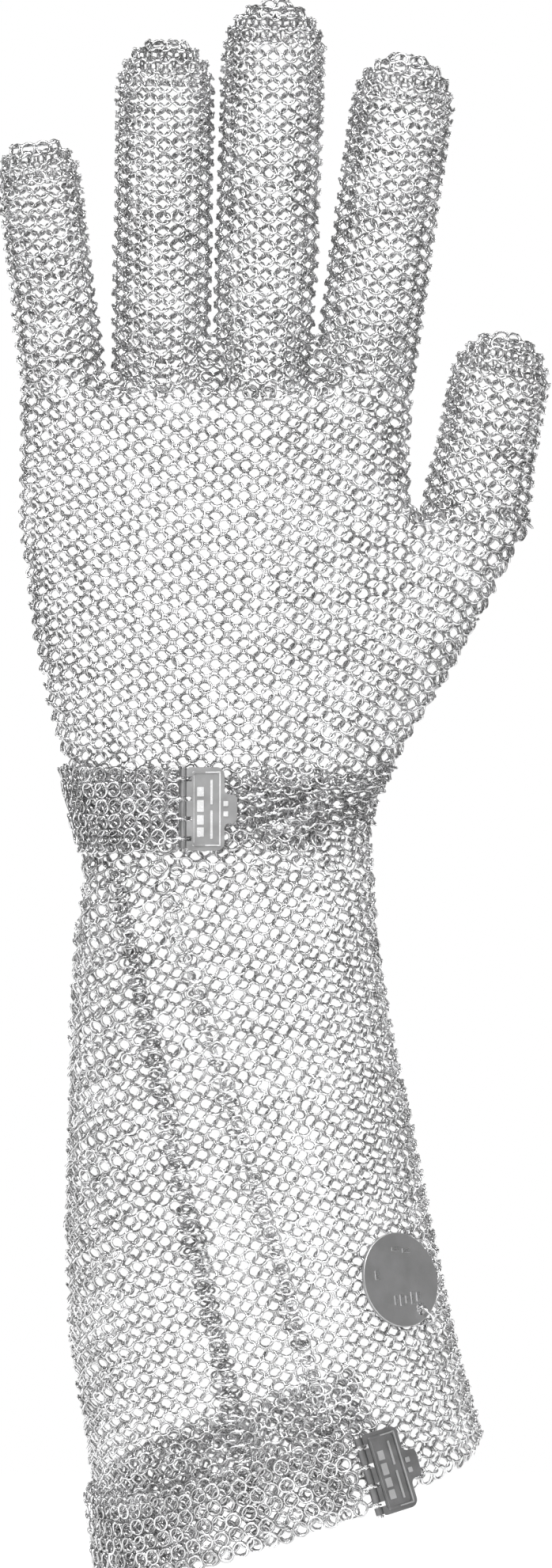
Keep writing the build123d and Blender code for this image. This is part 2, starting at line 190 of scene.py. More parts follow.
class Sheet:
    """Part of a tube's surface, laid out by distance along its levels and by height.

    Distances are from an anchor line, which is where the surface crosses a plane.
    """

    STEP = 0.8 * MM

    def __init__(self, points, heights, anchor):
        self.heights = np.array(heights)
        self.lows, self.highs, rows = [], [], []
        for ring, h in zip(points, heights):
            run = np.r_[0, np.cumsum(np.linalg.norm(np.diff(ring, axis=0), axis=1))]
            order = np.argsort(ring[:, 0])
            run = run - np.interp(anchor(h), ring[order, 0], run[order])
            self.lows.append(run[0])
            self.highs.append(run[-1])
            rows.append((run, ring))
        self.first = min(self.lows)
        grid = np.arange(self.first, max(self.highs) + self.STEP, self.STEP)
        self.grid = np.array(
            [[np.interp(grid, run, level[:, k]) for k in range(3)] for run, level in rows]
        ).transpose(0, 2, 1)
        self.lows, self.highs = np.array(self.lows), np.array(self.highs)

    def at(self, s, h):
        i = (h - self.heights[0]) / (self.heights[1] - self.heights[0])
        i = np.clip(i, 0, len(self.heights) - 1.001)
        j = np.clip((s - self.first) / self.STEP, 0, self.grid.shape[1] - 1.001)
        i0, j0 = i.astype(int), j.astype(int)
        u, v = (i - i0)[:, None], (j - j0)[:, None]
        g = self.grid
        low = g[i0, j0] * (1 - v) + g[i0, j0 + 1] * v
        high = g[i0 + 1, j0] * (1 - v) + g[i0 + 1, j0 + 1] * v
        return low * (1 - u) + high * u

    def inside(self, s, h):
        low = np.interp(h, self.heights, self.lows)
        high = np.interp(h, self.heights, self.highs)
        return (s >= low) & (s <= high)

    def frames(self, s, h, rise):
        """Places on the sheet and their row, column and outward directions."""
        step = 0.7 * MM
        place = self.at(s, h)
        along = self.at(s + step, h + rise(s + step) - rise(s))
        along -= self.at(s - step, h + rise(s - step) - rise(s))
        up = self.at(s, h + 2 * step) - self.at(s, h - 2 * step)
        row = unit(along)
        column = unit(up - (up * row).sum(1, keepdims=True) * row)
        return place, row, column, np.cross(row, column)


def level(s):
    """Rows that run level."""
    return 0 * s


def leaning(slope):
    """Rows that climb evenly."""
    return lambda s: slope * s


def cupped(left, right, width=8 * MM):
    """Rows that climb both ways from the anchor line."""
    return lambda s: np.where(s > 0, right, left) * (np.sqrt(s * s + width**2) - width)


def net(sheet, pitch, row, rise, low, high, keep=None, shift=0.0, ripple=None):
    """Rings of a net laid on a sheet between two heights.

    rise(s) is a row's height at each distance, keep(places) picks rings, and ripple(places)
    is a wave, up to 1, where the mail bunches: there the rings crowd and sink in turn.
    """
    reach = 150 * MM  # beyond the sheet's edges, and more than any row climbs
    columns = np.arange(-int(reach / pitch), int(reach / pitch) + 1)
    ks = np.arange(int((low - reach) / row), int((high + reach) / row) + 1)
    k, i = (g.ravel() for g in np.meshgrid(ks, columns, indexing="ij"))
    found = []
    for half in (0, 0.5):
        s = (i + half) * pitch + shift
        h = (k + half) * row + rise(s)
        good = (h >= low) & (h <= high) & sheet.inside(s, h)
        s, h = s[good], h[good]
        wave = 0 * s if ripple is None else ripple(sheet.at(s, h))
        place, across, up, out = sheet.frames(s, h - RIPPLE_SHIFT * wave, rise)
        place = place - out * (RIPPLE_SINK * wave**2)[:, None]
        if keep is not None:
            kept = keep(place)
            place, across, up, out = (a[kept] for a in (place, across, up, out))
        side = np.full(len(place), 1.0 if half else -1.0)
        found.append((place, across, up, out, side))
    return tuple(np.concatenate(group) for group in zip(*found))


def twins(rings, sheet, rise):
    """Rings on the sheet behind, each one in line with its twin for the camera.

    This keeps the holes of the mail clear in the picture. From elsewhere the two nets fall
    out of line, and near the glove's sides the rings behind are spaced unevenly.
    """
    front = rings[0]
    grid = sheet.first + Sheet.STEP * np.arange(sheet.grid.shape[1])
    place = front
    for _ in range(3):  # each round comes closer to the place behind the twin
        nearness = 1 + (place[:, 1:2] - front[:, 1:2]) / DISTANCE
        wanted = SHOWN_MIDDLE + (front - SHOWN_MIDDLE) * nearness
        h = wanted[:, 2]
        rows = (h - sheet.heights[0]) / (sheet.heights[1] - sheet.heights[0])
        rows = np.clip(np.round(rows).astype(int), 0, len(sheet.heights) - 1)
        s = np.empty(len(h))
        for n, row in enumerate(rows):
            held = (grid >= sheet.lows[row]) & (grid <= sheet.highs[row])
            x = sheet.grid[row, held, 0]
            order = np.argsort(x)
            s[n] = np.interp(wanted[n, 0], x[order], grid[held][order])
        place = sheet.at(s, h)
    return (*sheet.frames(s, h, rise), rings[4])


def side_rings(sheet, low, high, near):
    """Loose rings near both edges of a sheet, wherever the nets beside them leave a gap."""
    heights = np.arange(low, high, SIDE_STEP)
    first, last = (np.interp(heights, sheet.heights, ends) for ends in (sheet.lows, sheet.highs))
    runs = [end + inset * MM for inset in SIDE_INSETS for end in (first, last)]
    runs = [run if n % 2 == 0 else 2 * last - run for n, run in enumerate(runs)]
    s, h = np.concatenate(runs), np.tile(heights, len(runs))
    place, across, up, out = sheet.frames(s, h, level)
    taken, kept = list(near[0]), []
    for n, spot in enumerate(place):
        beside = [p for p in taken if abs(p[2] - spot[2]) < SIDE_REACH]
        if not beside or min(np.linalg.norm(np.array(beside) - spot, axis=1)) > SIDE_CLEARANCE:
            kept.append(n)
            taken.append(spot)
    side = np.where(np.arange(len(kept)) % 2, 1.0, -1.0)
    return (*(a[kept] for a in (place, across, up, out)), side)


def joined(*nets):
    """Several nets as one."""
    return tuple(np.concatenate(group) for group in zip(*nets))


def chosen(rings, mask):
    """The rings that a mask, or a list of their numbers, picks."""
    return tuple(a[mask] for a in rings)


# -------------------------------------------------------------------- ring meshes
def torus(steps, wire_steps):
    """Points of a unit ring's wire as the wire's middle and the way out of it, and faces."""
    a, b = np.meshgrid(
        2 * np.pi * np.arange(steps) / steps,
        2 * np.pi * np.arange(wire_steps) / wire_steps,
        indexing="ij",
    )
    a, b = a.ravel(), b.ravel()
    circle = np.stack([np.cos(a), np.sin(a), 0 * a], 1)
    outward = circle * np.cos(b)[:, None] + np.array([0, 0, 1]) * np.sin(b)[:, None]
    faces, spots = [], []
    for m in range(steps):
        for n in range(wire_steps):
            m1, n1 = (m + 1) % steps, (n + 1) % wire_steps
            faces.append([m * wire_steps + n, m1 * wire_steps + n])
            faces[-1] += [m1 * wire_steps + n1, m * wire_steps + n1]
            spots += [(m, n), (m + 1, n), (m + 1, n + 1), (m, n + 1)]
    spots = np.array(spots, float) / (steps, wire_steps)
    return circle, outward, np.array(faces), spots


CIRCLE, OUTWARD, RING_FACES, RING_SPOTS = torus(RING_STEPS, WIRE_STEPS)


def ring_corners(rings, lean, sink, wobble, size):
    """Corners of every ring: each one leans out of its panel and is a little uneven."""
    place, across, up, out, side = rings
    n = len(place)
    tilt = lean * side + rng.normal(0, wobble, n)
    twist = rng.normal(0, wobble, n)
    x = across * np.cos(twist)[:, None] + out * np.sin(twist)[:, None]
    z = out * np.cos(twist)[:, None] - across * np.sin(twist)[:, None]
    y = up * np.cos(tilt)[:, None] + z * np.sin(tilt)[:, None]
    z = z * np.cos(tilt)[:, None] - up * np.sin(tilt)[:, None]
    centre = place - out * sink + rng.normal(0, 0.09 * MM, (n, 3))
    radius = RING_RADIUS * size * (1 + rng.normal(0, 0.018, (n, 2)))
    spots = np.stack([x * radius[:, :1], y * radius[:, 1:], z * WIRE_RADIUS], 1)
    turned = np.stack([x, y, z], 1)
    corners = np.einsum("vk,nkc->nvc", CIRCLE, spots)
    corners += WIRE_RADIUS * np.einsum("vk,nkc->nvc", OUTWARD, turned)
    return corners + centre[:, None]


def mesh_piece(name, corners, material):
    """One piece of mail from the corners of its rings, with a spot for each on its map."""
    n, per_ring = corners.shape[:2]
    faces = (RING_FACES[None] + (np.arange(n) * per_ring)[:, None, None]).reshape(-1, 4)
    mesh = bpy.data.meshes.new(name)
    mesh.vertices.add(n * per_ring)
    mesh.vertices.foreach_set("co", corners.astype(np.float32).ravel())
    mesh.loops.add(faces.size)
    mesh.loops.foreach_set("vertex_index", faces.astype(np.int32).ravel())
    mesh.polygons.add(len(faces))
    mesh.polygons.foreach_set("loop_start", np.arange(0, faces.size, 4, dtype=np.int32))
    mesh.polygons.foreach_set("use_smooth", np.ones(len(faces), bool))
    side = math.ceil(math.sqrt(n))
    cells = np.stack([np.arange(n) % side, np.arange(n) // side], 1)
    spots = (cells[:, None] + 0.06 + 0.88 * RING_SPOTS[None]) / side
    mesh.uv_layers.new(name="OFBake").data.foreach_set("uv", spots.astype(np.float32).ravel())
    mesh.update(calc_edges=True)
    mesh.validate()
    piece = bpy.data.objects.new(name, mesh)
    bpy.context.scene.collection.objects.link(piece)
    mesh.materials.append(material)
    return piece


def mail(name, rings, follow, replaces=(), lean=LEAN, sink=SINK, wobble=0.07, size=1.0):
    """A patch of mail, in as many pieces as keep each one light. follow(piece) ties it."""
    order = np.argsort(rings[0] @ np.array([0.02, 0.01, 1]), kind="stable")
    parts = max(1, math.ceil(len(order) / MOST_RINGS))
    for n, share in enumerate(np.array_split(order, parts)):
        corners = ring_corners(chosen(rings, share), lean, sink, wobble, size)
        label = name if parts == 1 else f"{name}_{n + 1}"
        piece = mesh_piece(label, corners, RING_STEEL)
        follow(piece)
        if n == 0:
            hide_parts(*replaces)


def rides(body):
    return lambda piece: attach(piece, body)


def blends():
    return lambda piece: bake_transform(piece)


# ---------------------------------------------------------------------- materials
class Nodes:
    """A material's node tree, with short calls for its nodes."""

    def __init__(self, name):
        self.material = bpy.data.materials.new(name)
        self.material.use_nodes = True
        self.tree = self.material.node_tree
        self.shader = self.tree.nodes["Principled BSDF"]
        self.place = self.add("ShaderNodeTexCoord").outputs["Object"]

    def add(self, kind, **values):
        node = self.tree.nodes.new(kind)
        for key, value in values.items():
            setattr(node, key, value)
        return node

    def link(self, source, target):
        self.tree.links.new(source, target)

    def noise(self, scale, detail=3.0, stretch=None):
        node = self.add("ShaderNodeTexNoise")
        node.inputs["Scale"].default_value = scale
        node.inputs["Detail"].default_value = detail
        if stretch is None:
            self.link(self.place, node.inputs["Vector"])
        else:
            scaled = self.add("ShaderNodeMapping")
            scaled.inputs["Scale"].default_value = stretch
            self.link(self.place, scaled.inputs["Vector"])
            self.link(scaled.outputs["Vector"], node.inputs["Vector"])
        return node.outputs["Fac"]

    def ramp(self, value, stops):
        node = self.add("ShaderNodeValToRGB")
        band = node.color_ramp.elements
        while len(band) < len(stops):
            band.new(0.5)
        for element, (at, shade) in zip(band, stops):
            element.position = at
            element.color = (*shade, 1)
        self.link(value, node.inputs["Fac"])
        return node.outputs["Color"]

    def spread(self, value, low, high):
        node = self.add("ShaderNodeMapRange")
        node.inputs["From Min"].default_value = 0.3
        node.inputs["From Max"].default_value = 0.7
        node.inputs["To Min"].default_value = low
        node.inputs["To Max"].default_value = high
        self.link(value, node.inputs["Value"])
        return node.outputs["Result"]

    def bump(self, value, strength, depth):
        node = self.add("ShaderNodeBump")
        node.inputs["Strength"].default_value = strength
        node.inputs["Distance"].default_value = depth
        self.link(value, node.inputs["Height"])
        self.link(node.outputs["Normal"], self.shader.inputs["Normal"])


def steel(name, dark, light, smooth, rough, grain, per_ring=False, stretch=None):
    """Stainless steel whose shade and polish vary over its surface."""
    nodes = Nodes(name)
    nodes.shader.inputs["Metallic"].default_value = 1.0
    shade = nodes.noise(220, 2)
    if per_ring:
        own = nodes.add("ShaderNodeNewGeometry").outputs["Random Per Island"]
        mix = nodes.add("ShaderNodeMix", data_type="FLOAT")
        mix.inputs["Factor"].default_value = 0.6
        nodes.link(shade, mix.inputs["A"])
        nodes.link(own, mix.inputs["B"])
        shade = mix.outputs["Result"]
    tones = [(0.2, (dark,) * 3), (0.75, (light, light, light * 1.01))]
    nodes.link(nodes.ramp(shade, tones), nodes.shader.inputs["Base Color"])
    fine = nodes.noise(grain, 4, stretch)
    nodes.link(nodes.spread(fine, smooth, rough), nodes.shader.inputs["Roughness"])
    nodes.bump(fine, 0.25, 0.05 * MM)
    return nodes.material


RING_STEEL = steel("ring steel", 0.4, 0.86, 0.15, 0.32, 1800, per_ring=True)
# Lighter than the ring steel: a painted highlight on the edge rings, the tag ring, the links and the wires.
PAINTED_HIGHLIGHT_WIRE_STEEL = steel("wire steel with painted highlight", 0.62, 0.9, 0.14, 0.26, 1500, per_ring=True)
CLASP_STEEL = steel("stamped clasp steel", 0.32, 0.48, 0.34, 0.5, 900, stretch=(1, 1, 0.12))
MATT_STEEL = steel("matt blasted steel", 0.42, 0.52, 0.42, 0.55, 2600)
# Darker than the wrist clasp's steel: painted shade on the hem clasp. Its higher roughness gives the dull finish.
PAINTED_SHADE_CLASP_STEEL = steel("dull clasp steel with painted shade", 0.16, 0.25, 0.4, 0.55, 2600)
# Lighter than the plates the marks stand on: a painted highlight on the raised marks.
PAINTED_HIGHLIGHT_STAMP_STEEL = steel("stamped rim steel with painted highlight", 0.75, 0.92, 0.25, 0.35, 2600)

# ------------------------------------------------------------- hand and sleeve
SLEEVE_PANELS = (
    "sleeve_palm_panel",
    "sleeve_left_panel",
    "sleeve_gusset",
    "sleeve_right_panel",
    "wrist_fold_band",
)
HAND_PANELS = ("hand_back_panel", "hand_palm_panel")

wrist = joint_at("wrist_fold")
knuckle = joint_at("middle_root_fold")
thumb_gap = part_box("thumb_lower_stall")[0].x - 1.2 * MM
thumb_joins_at = 251 * MM
palm_top = 283 * MM
sleeve_foot = -28 * MM  # below the lowest point of the slanted hem
hand_foot = 161 * MM  # where the hand's net takes over from the sleeve's
wrist_low, wrist_high = 137 * MM, 167 * MM  # ends of the mail at the wrist fold
hem_normal = -Vector(frame["record"]["mounts"][0]["axis"]).normalized()


def clear_of_thumb(middle, way):
    """How far out a ray starts: outside the glove, but short of the thumb above its root."""
    reach = BODY_REACH
    if middle.z > thumb_joins_at and way.x > 0.05:
        reach = min(reach, (thumb_gap - middle.x) / way.x)
    return reach


TURNS = 300
levels = np.arange(sleeve_foot, palm_top, LEVEL_STEP)
foot_x = 0.5 * (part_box("sleeve_palm_panel")[0].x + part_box("sleeve_palm_panel")[1].x)
middles = [
    Vector((float(np.interp(z, (0, wrist.z, palm_top), (foot_x, wrist.x, -18 * MM))), 0, z))
    for z in levels
]
body_turns = oval_turns(TURNS)
body_radii = trace(
    panel_tree(SLEEVE_PANELS + HAND_PANELS), middles, ACROSS, TO_PALM, body_turns, clear_of_thumb
)


def run_on_below(radii):
    """Carries the sleeve on below its slanted hem, where there is nothing for rays to hit."""
    for i in range(len(radii) - 3, -1, -1):
        ahead = radii[i + 1] + (radii[i + 1] - radii[i + 2])
        lost = (radii[i] == 0) | (abs(radii[i] - ahead) > 1.5 * MM)
        below = np.array([middles[i].z < 20 * MM] * len(lost))
        radii[i] = np.where(lost & below, ahead, radii[i])
    return radii


body_radii = run_on_below(bridged(body_radii))
body_points = surface_points(middles, ACROSS, TO_PALM, body_turns, body_radii)
half = TURNS // 2
palm_half = body_points[:, : half + 1]
back_half = np.concatenate([body_points[:, half:], body_points[:, :1]], axis=1)


def middle_line(z):
    """The hand's middle line, carried on down the sleeve."""
    return wrist.x + (knuckle.x - wrist.x) * (z - wrist.z) / (knuckle.z - wrist.z)


hand_back = Sheet(back_half, levels, middle_line)
hand_palm = Sheet(palm_half, levels, middle_line)
on_right_seam = Sheet(back_half, levels, lambda z: line_x(GUSSET_RIGHT, z))
behind_right_seam = Sheet(palm_half, levels, lambda z: line_x(GUSSET_RIGHT, z))
on_left_seam = Sheet(back_half, levels, lambda z: line_x(GUSSET_LEFT, z))

HEM_NORMAL = np.array(hem_normal)


def above_hem(places):
    return places @ HEM_NORMAL > 1.2 * MM


def left_of(line, places):
    return places[:, 0] < line_x(line, places[:, 2])


hand_rows = cupped(0.2, 0.3)
hand_back_rings = net(hand_back, BODY_PITCH, BODY_ROW, hand_rows, 150 * MM, palm_top)
hand_palm_rings = twins(hand_back_rings, hand_palm, lambda s: hand_rows(-s))
hand_rings = joined(hand_back_rings, hand_palm_rings)
hand_palm_rings = joined(
    hand_palm_rings, side_rings(hand_palm, hand_foot, thumb_joins_at, hand_rings)
)
hand_back_rings, hand_palm_rings = (
    chosen(rings, rings[0][:, 2] > hand_foot) for rings in (hand_back_rings, hand_palm_rings)
)


def bunched(places):
    """Slanted bands along the sleeve's left edge, where the mail is pushed together."""
    x, z = places[:, 0], places[:, 2]
    near_edge = np.clip((-37 * MM - x) / (12 * MM), 0, 1)
    return near_edge * np.sin(2 * np.pi * (z - 0.5 * x) / (9.6 * MM))


def sleeve_net(sheet, rise, keep, shift=0.0, ripple=None):
    return net(
        sheet, SLEEVE_PITCH, SLEEVE_ROW, rise, sleeve_foot, hand_foot,
        lambda p: above_hem(p) & keep(p), shift, ripple,
    )


up_right, up_left = leaning(ROW_SLOPE), leaning(-ROW_SLOPE)
right_rings = sleeve_net(on_right_seam, up_right, lambda p: ~left_of(GUSSET_RIGHT, p), SEAM_SHIFT)
gusset_rings = sleeve_net(
    on_right_seam, up_right, lambda p: left_of(GUSSET_RIGHT, p) & ~left_of(GUSSET_LEFT, p)
)
left_rings = sleeve_net(
    on_left_seam, up_right, lambda p: left_of(GUSSET_LEFT, p), -1.2 * MM, bunched
)
front_rings = joined(right_rings, gusset_rings, left_rings)
underside_rings = twins(front_rings, behind_right_seam, up_left)
sides = side_rings(hand_palm, sleeve_foot, hand_foot, joined(front_rings, underside_rings))
underside_rings = joined(underside_rings, chosen(sides, above_hem(sides[0])))


def parted(rings, low=None, high=None):
    """The rings from one height to another."""
    z = rings[0][:, 2]
    mask = np.ones(len(z), bool)
    if low is not None:
        mask &= z >= low
    if high is not None:
        mask &= z < high
    return chosen(rings, mask)


for name, rings, replaced in (
    ("sleeve_right_mail", right_rings, "sleeve_right_panel"),
    ("sleeve_gusset_mail", gusset_rings, "sleeve_gusset"),
    ("sleeve_left_mail", left_rings, "sleeve_left_panel"),
    ("sleeve_palm_mail", underside_rings, "sleeve_palm_panel"),
):
    mail(name, parted(rings, high=wrist_low), rides("sleeve"), [replaced])


def seam_rings(sheet, pitch, offset):
    """A single row of rings down a seam, at an offset from it."""
    h = np.arange(sleeve_foot, hand_foot, pitch)
    s = offset + rng.normal(0, 0.35 * MM, len(h))
    place, across, up, out = sheet.frames(s, h, level)
    side = np.where(np.arange(len(h)) % 2, 1.0, -1.0)
    rings = (place + out * 0.3 * MM, across, up, out, side)
    return chosen(rings, above_hem(place))


seams = joined(
    seam_rings(on_left_seam, 1.9 * MM, 0.2 * MM),
    seam_rings(on_left_seam, 2.6 * MM, -1.4 * MM),
    seam_rings(on_right_seam, 4.4 * MM, -1.6 * MM),
)
mail("gusset_seam_mail", parted(seams, high=wrist_low), rides("sleeve"), (), SEAM_LEAN)

at_wrist = joined(
    *(
        parted(rings, low=wrist_low)
        for rings in (right_rings, gusset_rings, left_rings, underside_rings, seams)
    ),
    *(parted(r, high=wrist_high) for r in (hand_back_rings, hand_palm_rings)),
)
mail(
    "wrist_mail",
    at_wrist,
    blends(),
    ["wrist_fold_band"],
)


def in_bunch(places):
    """Right of the clasp, where the mail is drawn together round the wrist."""
    x, z = places[:, 0], places[:, 2]
    middle = 178 * MM + 0.1 * (x - 5 * MM)
    return (x > -13 * MM) & (abs(z - middle) < 6 * MM + 0.05 * x)


bunch = net(hand_back, 4.2 * MM, 2.9 * MM, leaning(0.25), 168 * MM, 190 * MM, in_bunch, 2 * MM)
mail("wrist_bunched_mail", bunch, rides("hand"), (), BUNCH_LEAN, 0.1 * MM, 0.2)
mail("hand_back_mail", parted(hand_back_rings, low=wrist_high), rides("hand"), ["hand_back_panel"])
mail("hand_palm_mail", parted(hand_palm_rings, low=wrist_high), rides("hand"), ["hand_palm_panel"])


# ------------------------------------------------------------------------ stalls
# Neighbouring fingers, and how high the mail between them reaches.
WEBS = (("ring", "middle", 296 * MM), ("middle", "index", 295 * MM), ("little", "ring", 287 * MM))
WEB_HALF_WIDTH = 2.0 * MM


def web_middle(left, right):
    return 0.5 * (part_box(f"{left}_lower_stall")[1].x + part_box(f"{right}_lower_stall")[0].x)


def stall_mail(finger):
    root, bend = joint_at(f"{finger}_root_fold"), joint_at(f"{finger}_middle_fold")
    along = (bend - root).normalized()
    across = TO_PALM.cross(along)
    foot = Vector((root.x, 0, root.z))
    nodes = [f"{finger}_lower_stall", f"{finger}_upper_stall"]
    tip = max((Vector(v.co) - foot).dot(along) for v in frame["nodes"][nodes[1]].data.vertices)
    fold = (bend - root).length
    heights = np.arange(STALL_START, tip - 0.25 * MM, STALL_STEP)
    middles = [foot + along * float(h) for h in heights]
    turns = oval_turns(64, 0.85)
    radii = trace(panel_tree(nodes), middles, across, TO_PALM, turns, lambda m, w: STALL_REACH)
    points = surface_points(middles, across, TO_PALM, turns, bridged(radii))
    front = 3 * len(turns) // 4  # the turn that faces the back of the hand
    run = np.r_[0, np.cumsum(np.linalg.norm(np.diff(points[:, front], axis=0), axis=1))]
    run -= np.interp(0, heights, run)
    closed = np.concatenate([np.roll(points, -front, axis=1), points[:, front : front + 1]], 1)
    lengths = np.linalg.norm(np.diff(closed, axis=1), axis=2)
    around = np.concatenate([np.zeros((len(points), 1)), np.cumsum(lengths, axis=1)], axis=1)
    full = 2 * round(np.interp(0.4 * tip, heights, around[:, -1]) / STALL_PITCH / 2)
    rings = []
    share = around / around[:, -1:]
    even = np.linspace(0, 1, 121)
    tube = np.array(
        [[np.interp(even, u, ring[:, c]) for c in range(3)] for u, ring in zip(share, closed)]
    ).transpose(0, 2, 1)

    def spot(u, h):
        """The stall's surface at a share of the way round it and a height."""
        i = np.clip((h - heights[0]) / (heights[1] - heights[0]), 0, len(heights) - 1.001)
        j = np.clip(u % 1.0, 0, 0.9999) * (len(even) - 1)
        i0, j0 = i.astype(int), j.astype(int)
        a, b = (i - i0)[:, None], (j - j0)[:, None]
        low = tube[i0, j0] * (1 - b) + tube[i0, j0 + 1] * b
        high = tube[i0 + 1, j0] * (1 - b) + tube[i0 + 1, j0 + 1] * b
        return low * (1 - a) + high * a

    def lifted(u, h):
        """Rows climb from the middle of the front and the back to the sides."""
        flat = np.clip((tip - 13 * MM - h) / (24 * MM), 0, 1)
        return STALL_RISE * flat * 0.5 * (1 - np.cos(4 * np.pi * u))

    rows = np.arange(int(run[0] / (STALL_ROW / 2)) + 1, int(run[-1] / (STALL_ROW / 2)) + 1)
    for k in rows:
        base = float(np.interp(k * STALL_ROW / 2, run, heights))
        length = float(np.interp(base, heights, around[:, -1]))
        count = full
        if base >= tip - STALL_TIP:
            count = max(3, min(full, round(length / STALL_PITCH)))
        u = (np.arange(count) + 0.5 * (k % 2)) / count
        h = base + lifted(u, base)
        step = 0.008
        place = spot(u, h)
        h = h + (place[:, 2] - SHOWN_MIDDLE[2]) * 2 * np.maximum(place[:, 1], 0) / DISTANCE
        place = spot(u, h)
        row = unit(
            spot(u + step, base + lifted(u + step, base))
            - spot(u - step, base + lifted(u - step, base))
        )
        up = spot(u, h + MM) - spot(u, h - MM)
        column = unit(up - (up * row).sum(1, keepdims=True) * row)
        side = np.full(count, 1.0 if k % 2 else -1.0)
        rings.append((place, row, column, np.cross(row, column), side, h))
    rings = joined(*rings)
    h, rings = rings[-1], rings[:-1]
    boundary = thumb_joins_at - 1 * MM if finger == "thumb" else palm_top
    shown = rings[0][:, 2] > boundary
    for left, right, top in WEBS:
        if finger in (left, right):
            between = abs(rings[0][:, 0] - web_middle(left, right)) < WEB_HALF_WIDTH
            shown &= ~(between & (rings[0][:, 2] < top))
    # The mail is split into a lower and an upper piece, at a height between the root fold and the middle fold.
    split = 0.5 * (22 * MM + fold - 12 * MM) if fold > 30 * MM else 0.55 * fold
    mail(
        f"{finger}_lower_mail",
        chosen(rings, shown & (h < split)),
        blends(),
        [nodes[0]],
    )
    mail(
        f"{finger}_upper_mail",
        chosen(rings, shown & (h >= split)),
        blends(
        ),
        [nodes[1]],
        sink=TIP_SINK,
    )


for finger in FINGERS:
    stall_mail(finger)


def web_mail(left, right, top):
    """Closes the gap between two fingers: rings in front and behind, nearing as they rise."""
    middle, half_depth = web_middle(left, right), 8.2 * MM
    rings = []
    for k, z in enumerate(np.arange(palm_top - MM, top, STALL_ROW / 2)):
        for n in (0,) if k % 2 else (-0.5, 0.5):
            for facing in (-1, 1):
                sag = 0.28 * (z - palm_top)
                place = (middle + n * STALL_PITCH * 0.8, facing * (half_depth - sag), z)
                across, out = (-facing, 0, 0), (0, facing, 0)
                rings.append((place, across, (0, 0, 1), out, 1.0 if k % 2 else -1.0))
    rings = tuple(np.array(group, float) for group in zip(*rings))
    mail(f"{left}_{right}_web_mail", rings, rides("hand"), (), LEAN, 0, 0.2)


for web in WEBS:
    web_mail(*web)


# ------------------------------------------------------------------------ straps
def strap_mail(name, node, body, origin, axis, low, high):
    """Mail folded double: two nets, one behind the other, with a little disorder."""
    across = (ACROSS - axis * ACROSS.dot(axis)).normalized()
    front = axis.cross(across)
    heights = np.arange(low, high + 0.001 * MM, (high - low) / 11)
    middles = [origin + axis * float(h) for h in heights]
    turns = oval_turns(TURNS)
    radii = trace(panel_tree([node]), middles, across, front, turns, lambda m, w: BODY_REACH)
    middle = radii[len(radii) // 2]
    there = middle > 0
    radii = np.where(there[None], np.where(radii > 0, radii, middle[None]), 0)
    radii[:, ~there] = np.nan
    points = surface_points(middles, across, front, turns, radii)
    start = int(np.argmax(~there & np.roll(there, -1))) + 1
    order = [(start + n) % TURNS for n in range(int(there.sum()))]
    points = points[:, order]
    sheet = Sheet.__new__(Sheet)
    run = np.cumsum(np.r_[0, np.linalg.norm(np.diff(points[5], axis=0), axis=1)])
    run -= run[-1] / 2
    sheet.heights, sheet.first = heights, run[0]
    grid = np.arange(run[0], run[-1], Sheet.STEP)
    sheet.grid = np.array(
        [[np.interp(grid, run, level[:, c]) for c in range(3)] for level in points]
    ).transpose(0, 2, 1)
    sheet.lows, sheet.highs = (np.full(len(heights), end) for end in run[[0, -1]])
    edge = 1.0 * MM
    outer = net(sheet, STRAP_PITCH, STRAP_ROW, level, low + edge, high - edge)
    inner = (outer[0] - outer[3] * 1.5 * MM, *outer[1:])
    front_rings, between = chosen(outer, outer[4] > 0), chosen(outer, outer[4] < 0)
    between = (between[0] - between[3] * 0.8 * MM, *between[1:])
    rings = joined(front_rings, between, inner)
    loose = (rings[0] + rng.normal(0, 0.2 * MM, rings[0].shape), *rings[1:])
    mail(name, loose, rides(body), [node], STRAP_LEAN, 0.4 * MM, 0.09, 1.06)


clasp_z = 0.5 * (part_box("wrist_strap")[0].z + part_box("wrist_strap")[1].z)
strap_middle = Vector((-16 * MM, 0, 0))
strap_mail(
    "wrist_strap_mail", "wrist_strap", "hand", strap_middle, UP,
    clasp_z - STRAP_WIDTH / 2 + 0.2 * MM, clasp_z + STRAP_WIDTH / 2 - 0.2 * MM,
)
strap_mail(
    "hem_strap_mail", "hem_strap", "sleeve", Vector((0, 0, 0)), hem_normal,
    0.2 * MM, STRAP_WIDTH - 0.2 * MM,
)

# ----------------------------------------------------------- metal on the glove
for name in frame["nodes"]:
    node = frame["nodes"][name]
    if node.hide_render:
        continue
    material = MATT_STEEL
    # The edge rings, the tag ring, the links and the wires take the steel with a painted highlight.
    if name in ("gusset_edge_rings", "tag_ring") or name.endswith(("_links", "_wire")):
        material = PAINTED_HIGHLIGHT_WIRE_STEEL
    elif name.startswith("wrist_clasp"):
        material = CLASP_STEEL
    # The hem clasp takes the steel with painted shade.
    elif name.startswith("hem_clasp"):
        material = PAINTED_SHADE_CLASP_STEEL
    node.data.materials.clear()
    node.data.materials.append(material)


BAR_HEIGHT = 0.3 * MM
PLATE_MIDDLE = 5.9  # mm from a clasp's hinge line
PLATE_FACE = 0.45  # mm out from it
TAG_FACE = 0.52  # mm out from the tag's middle


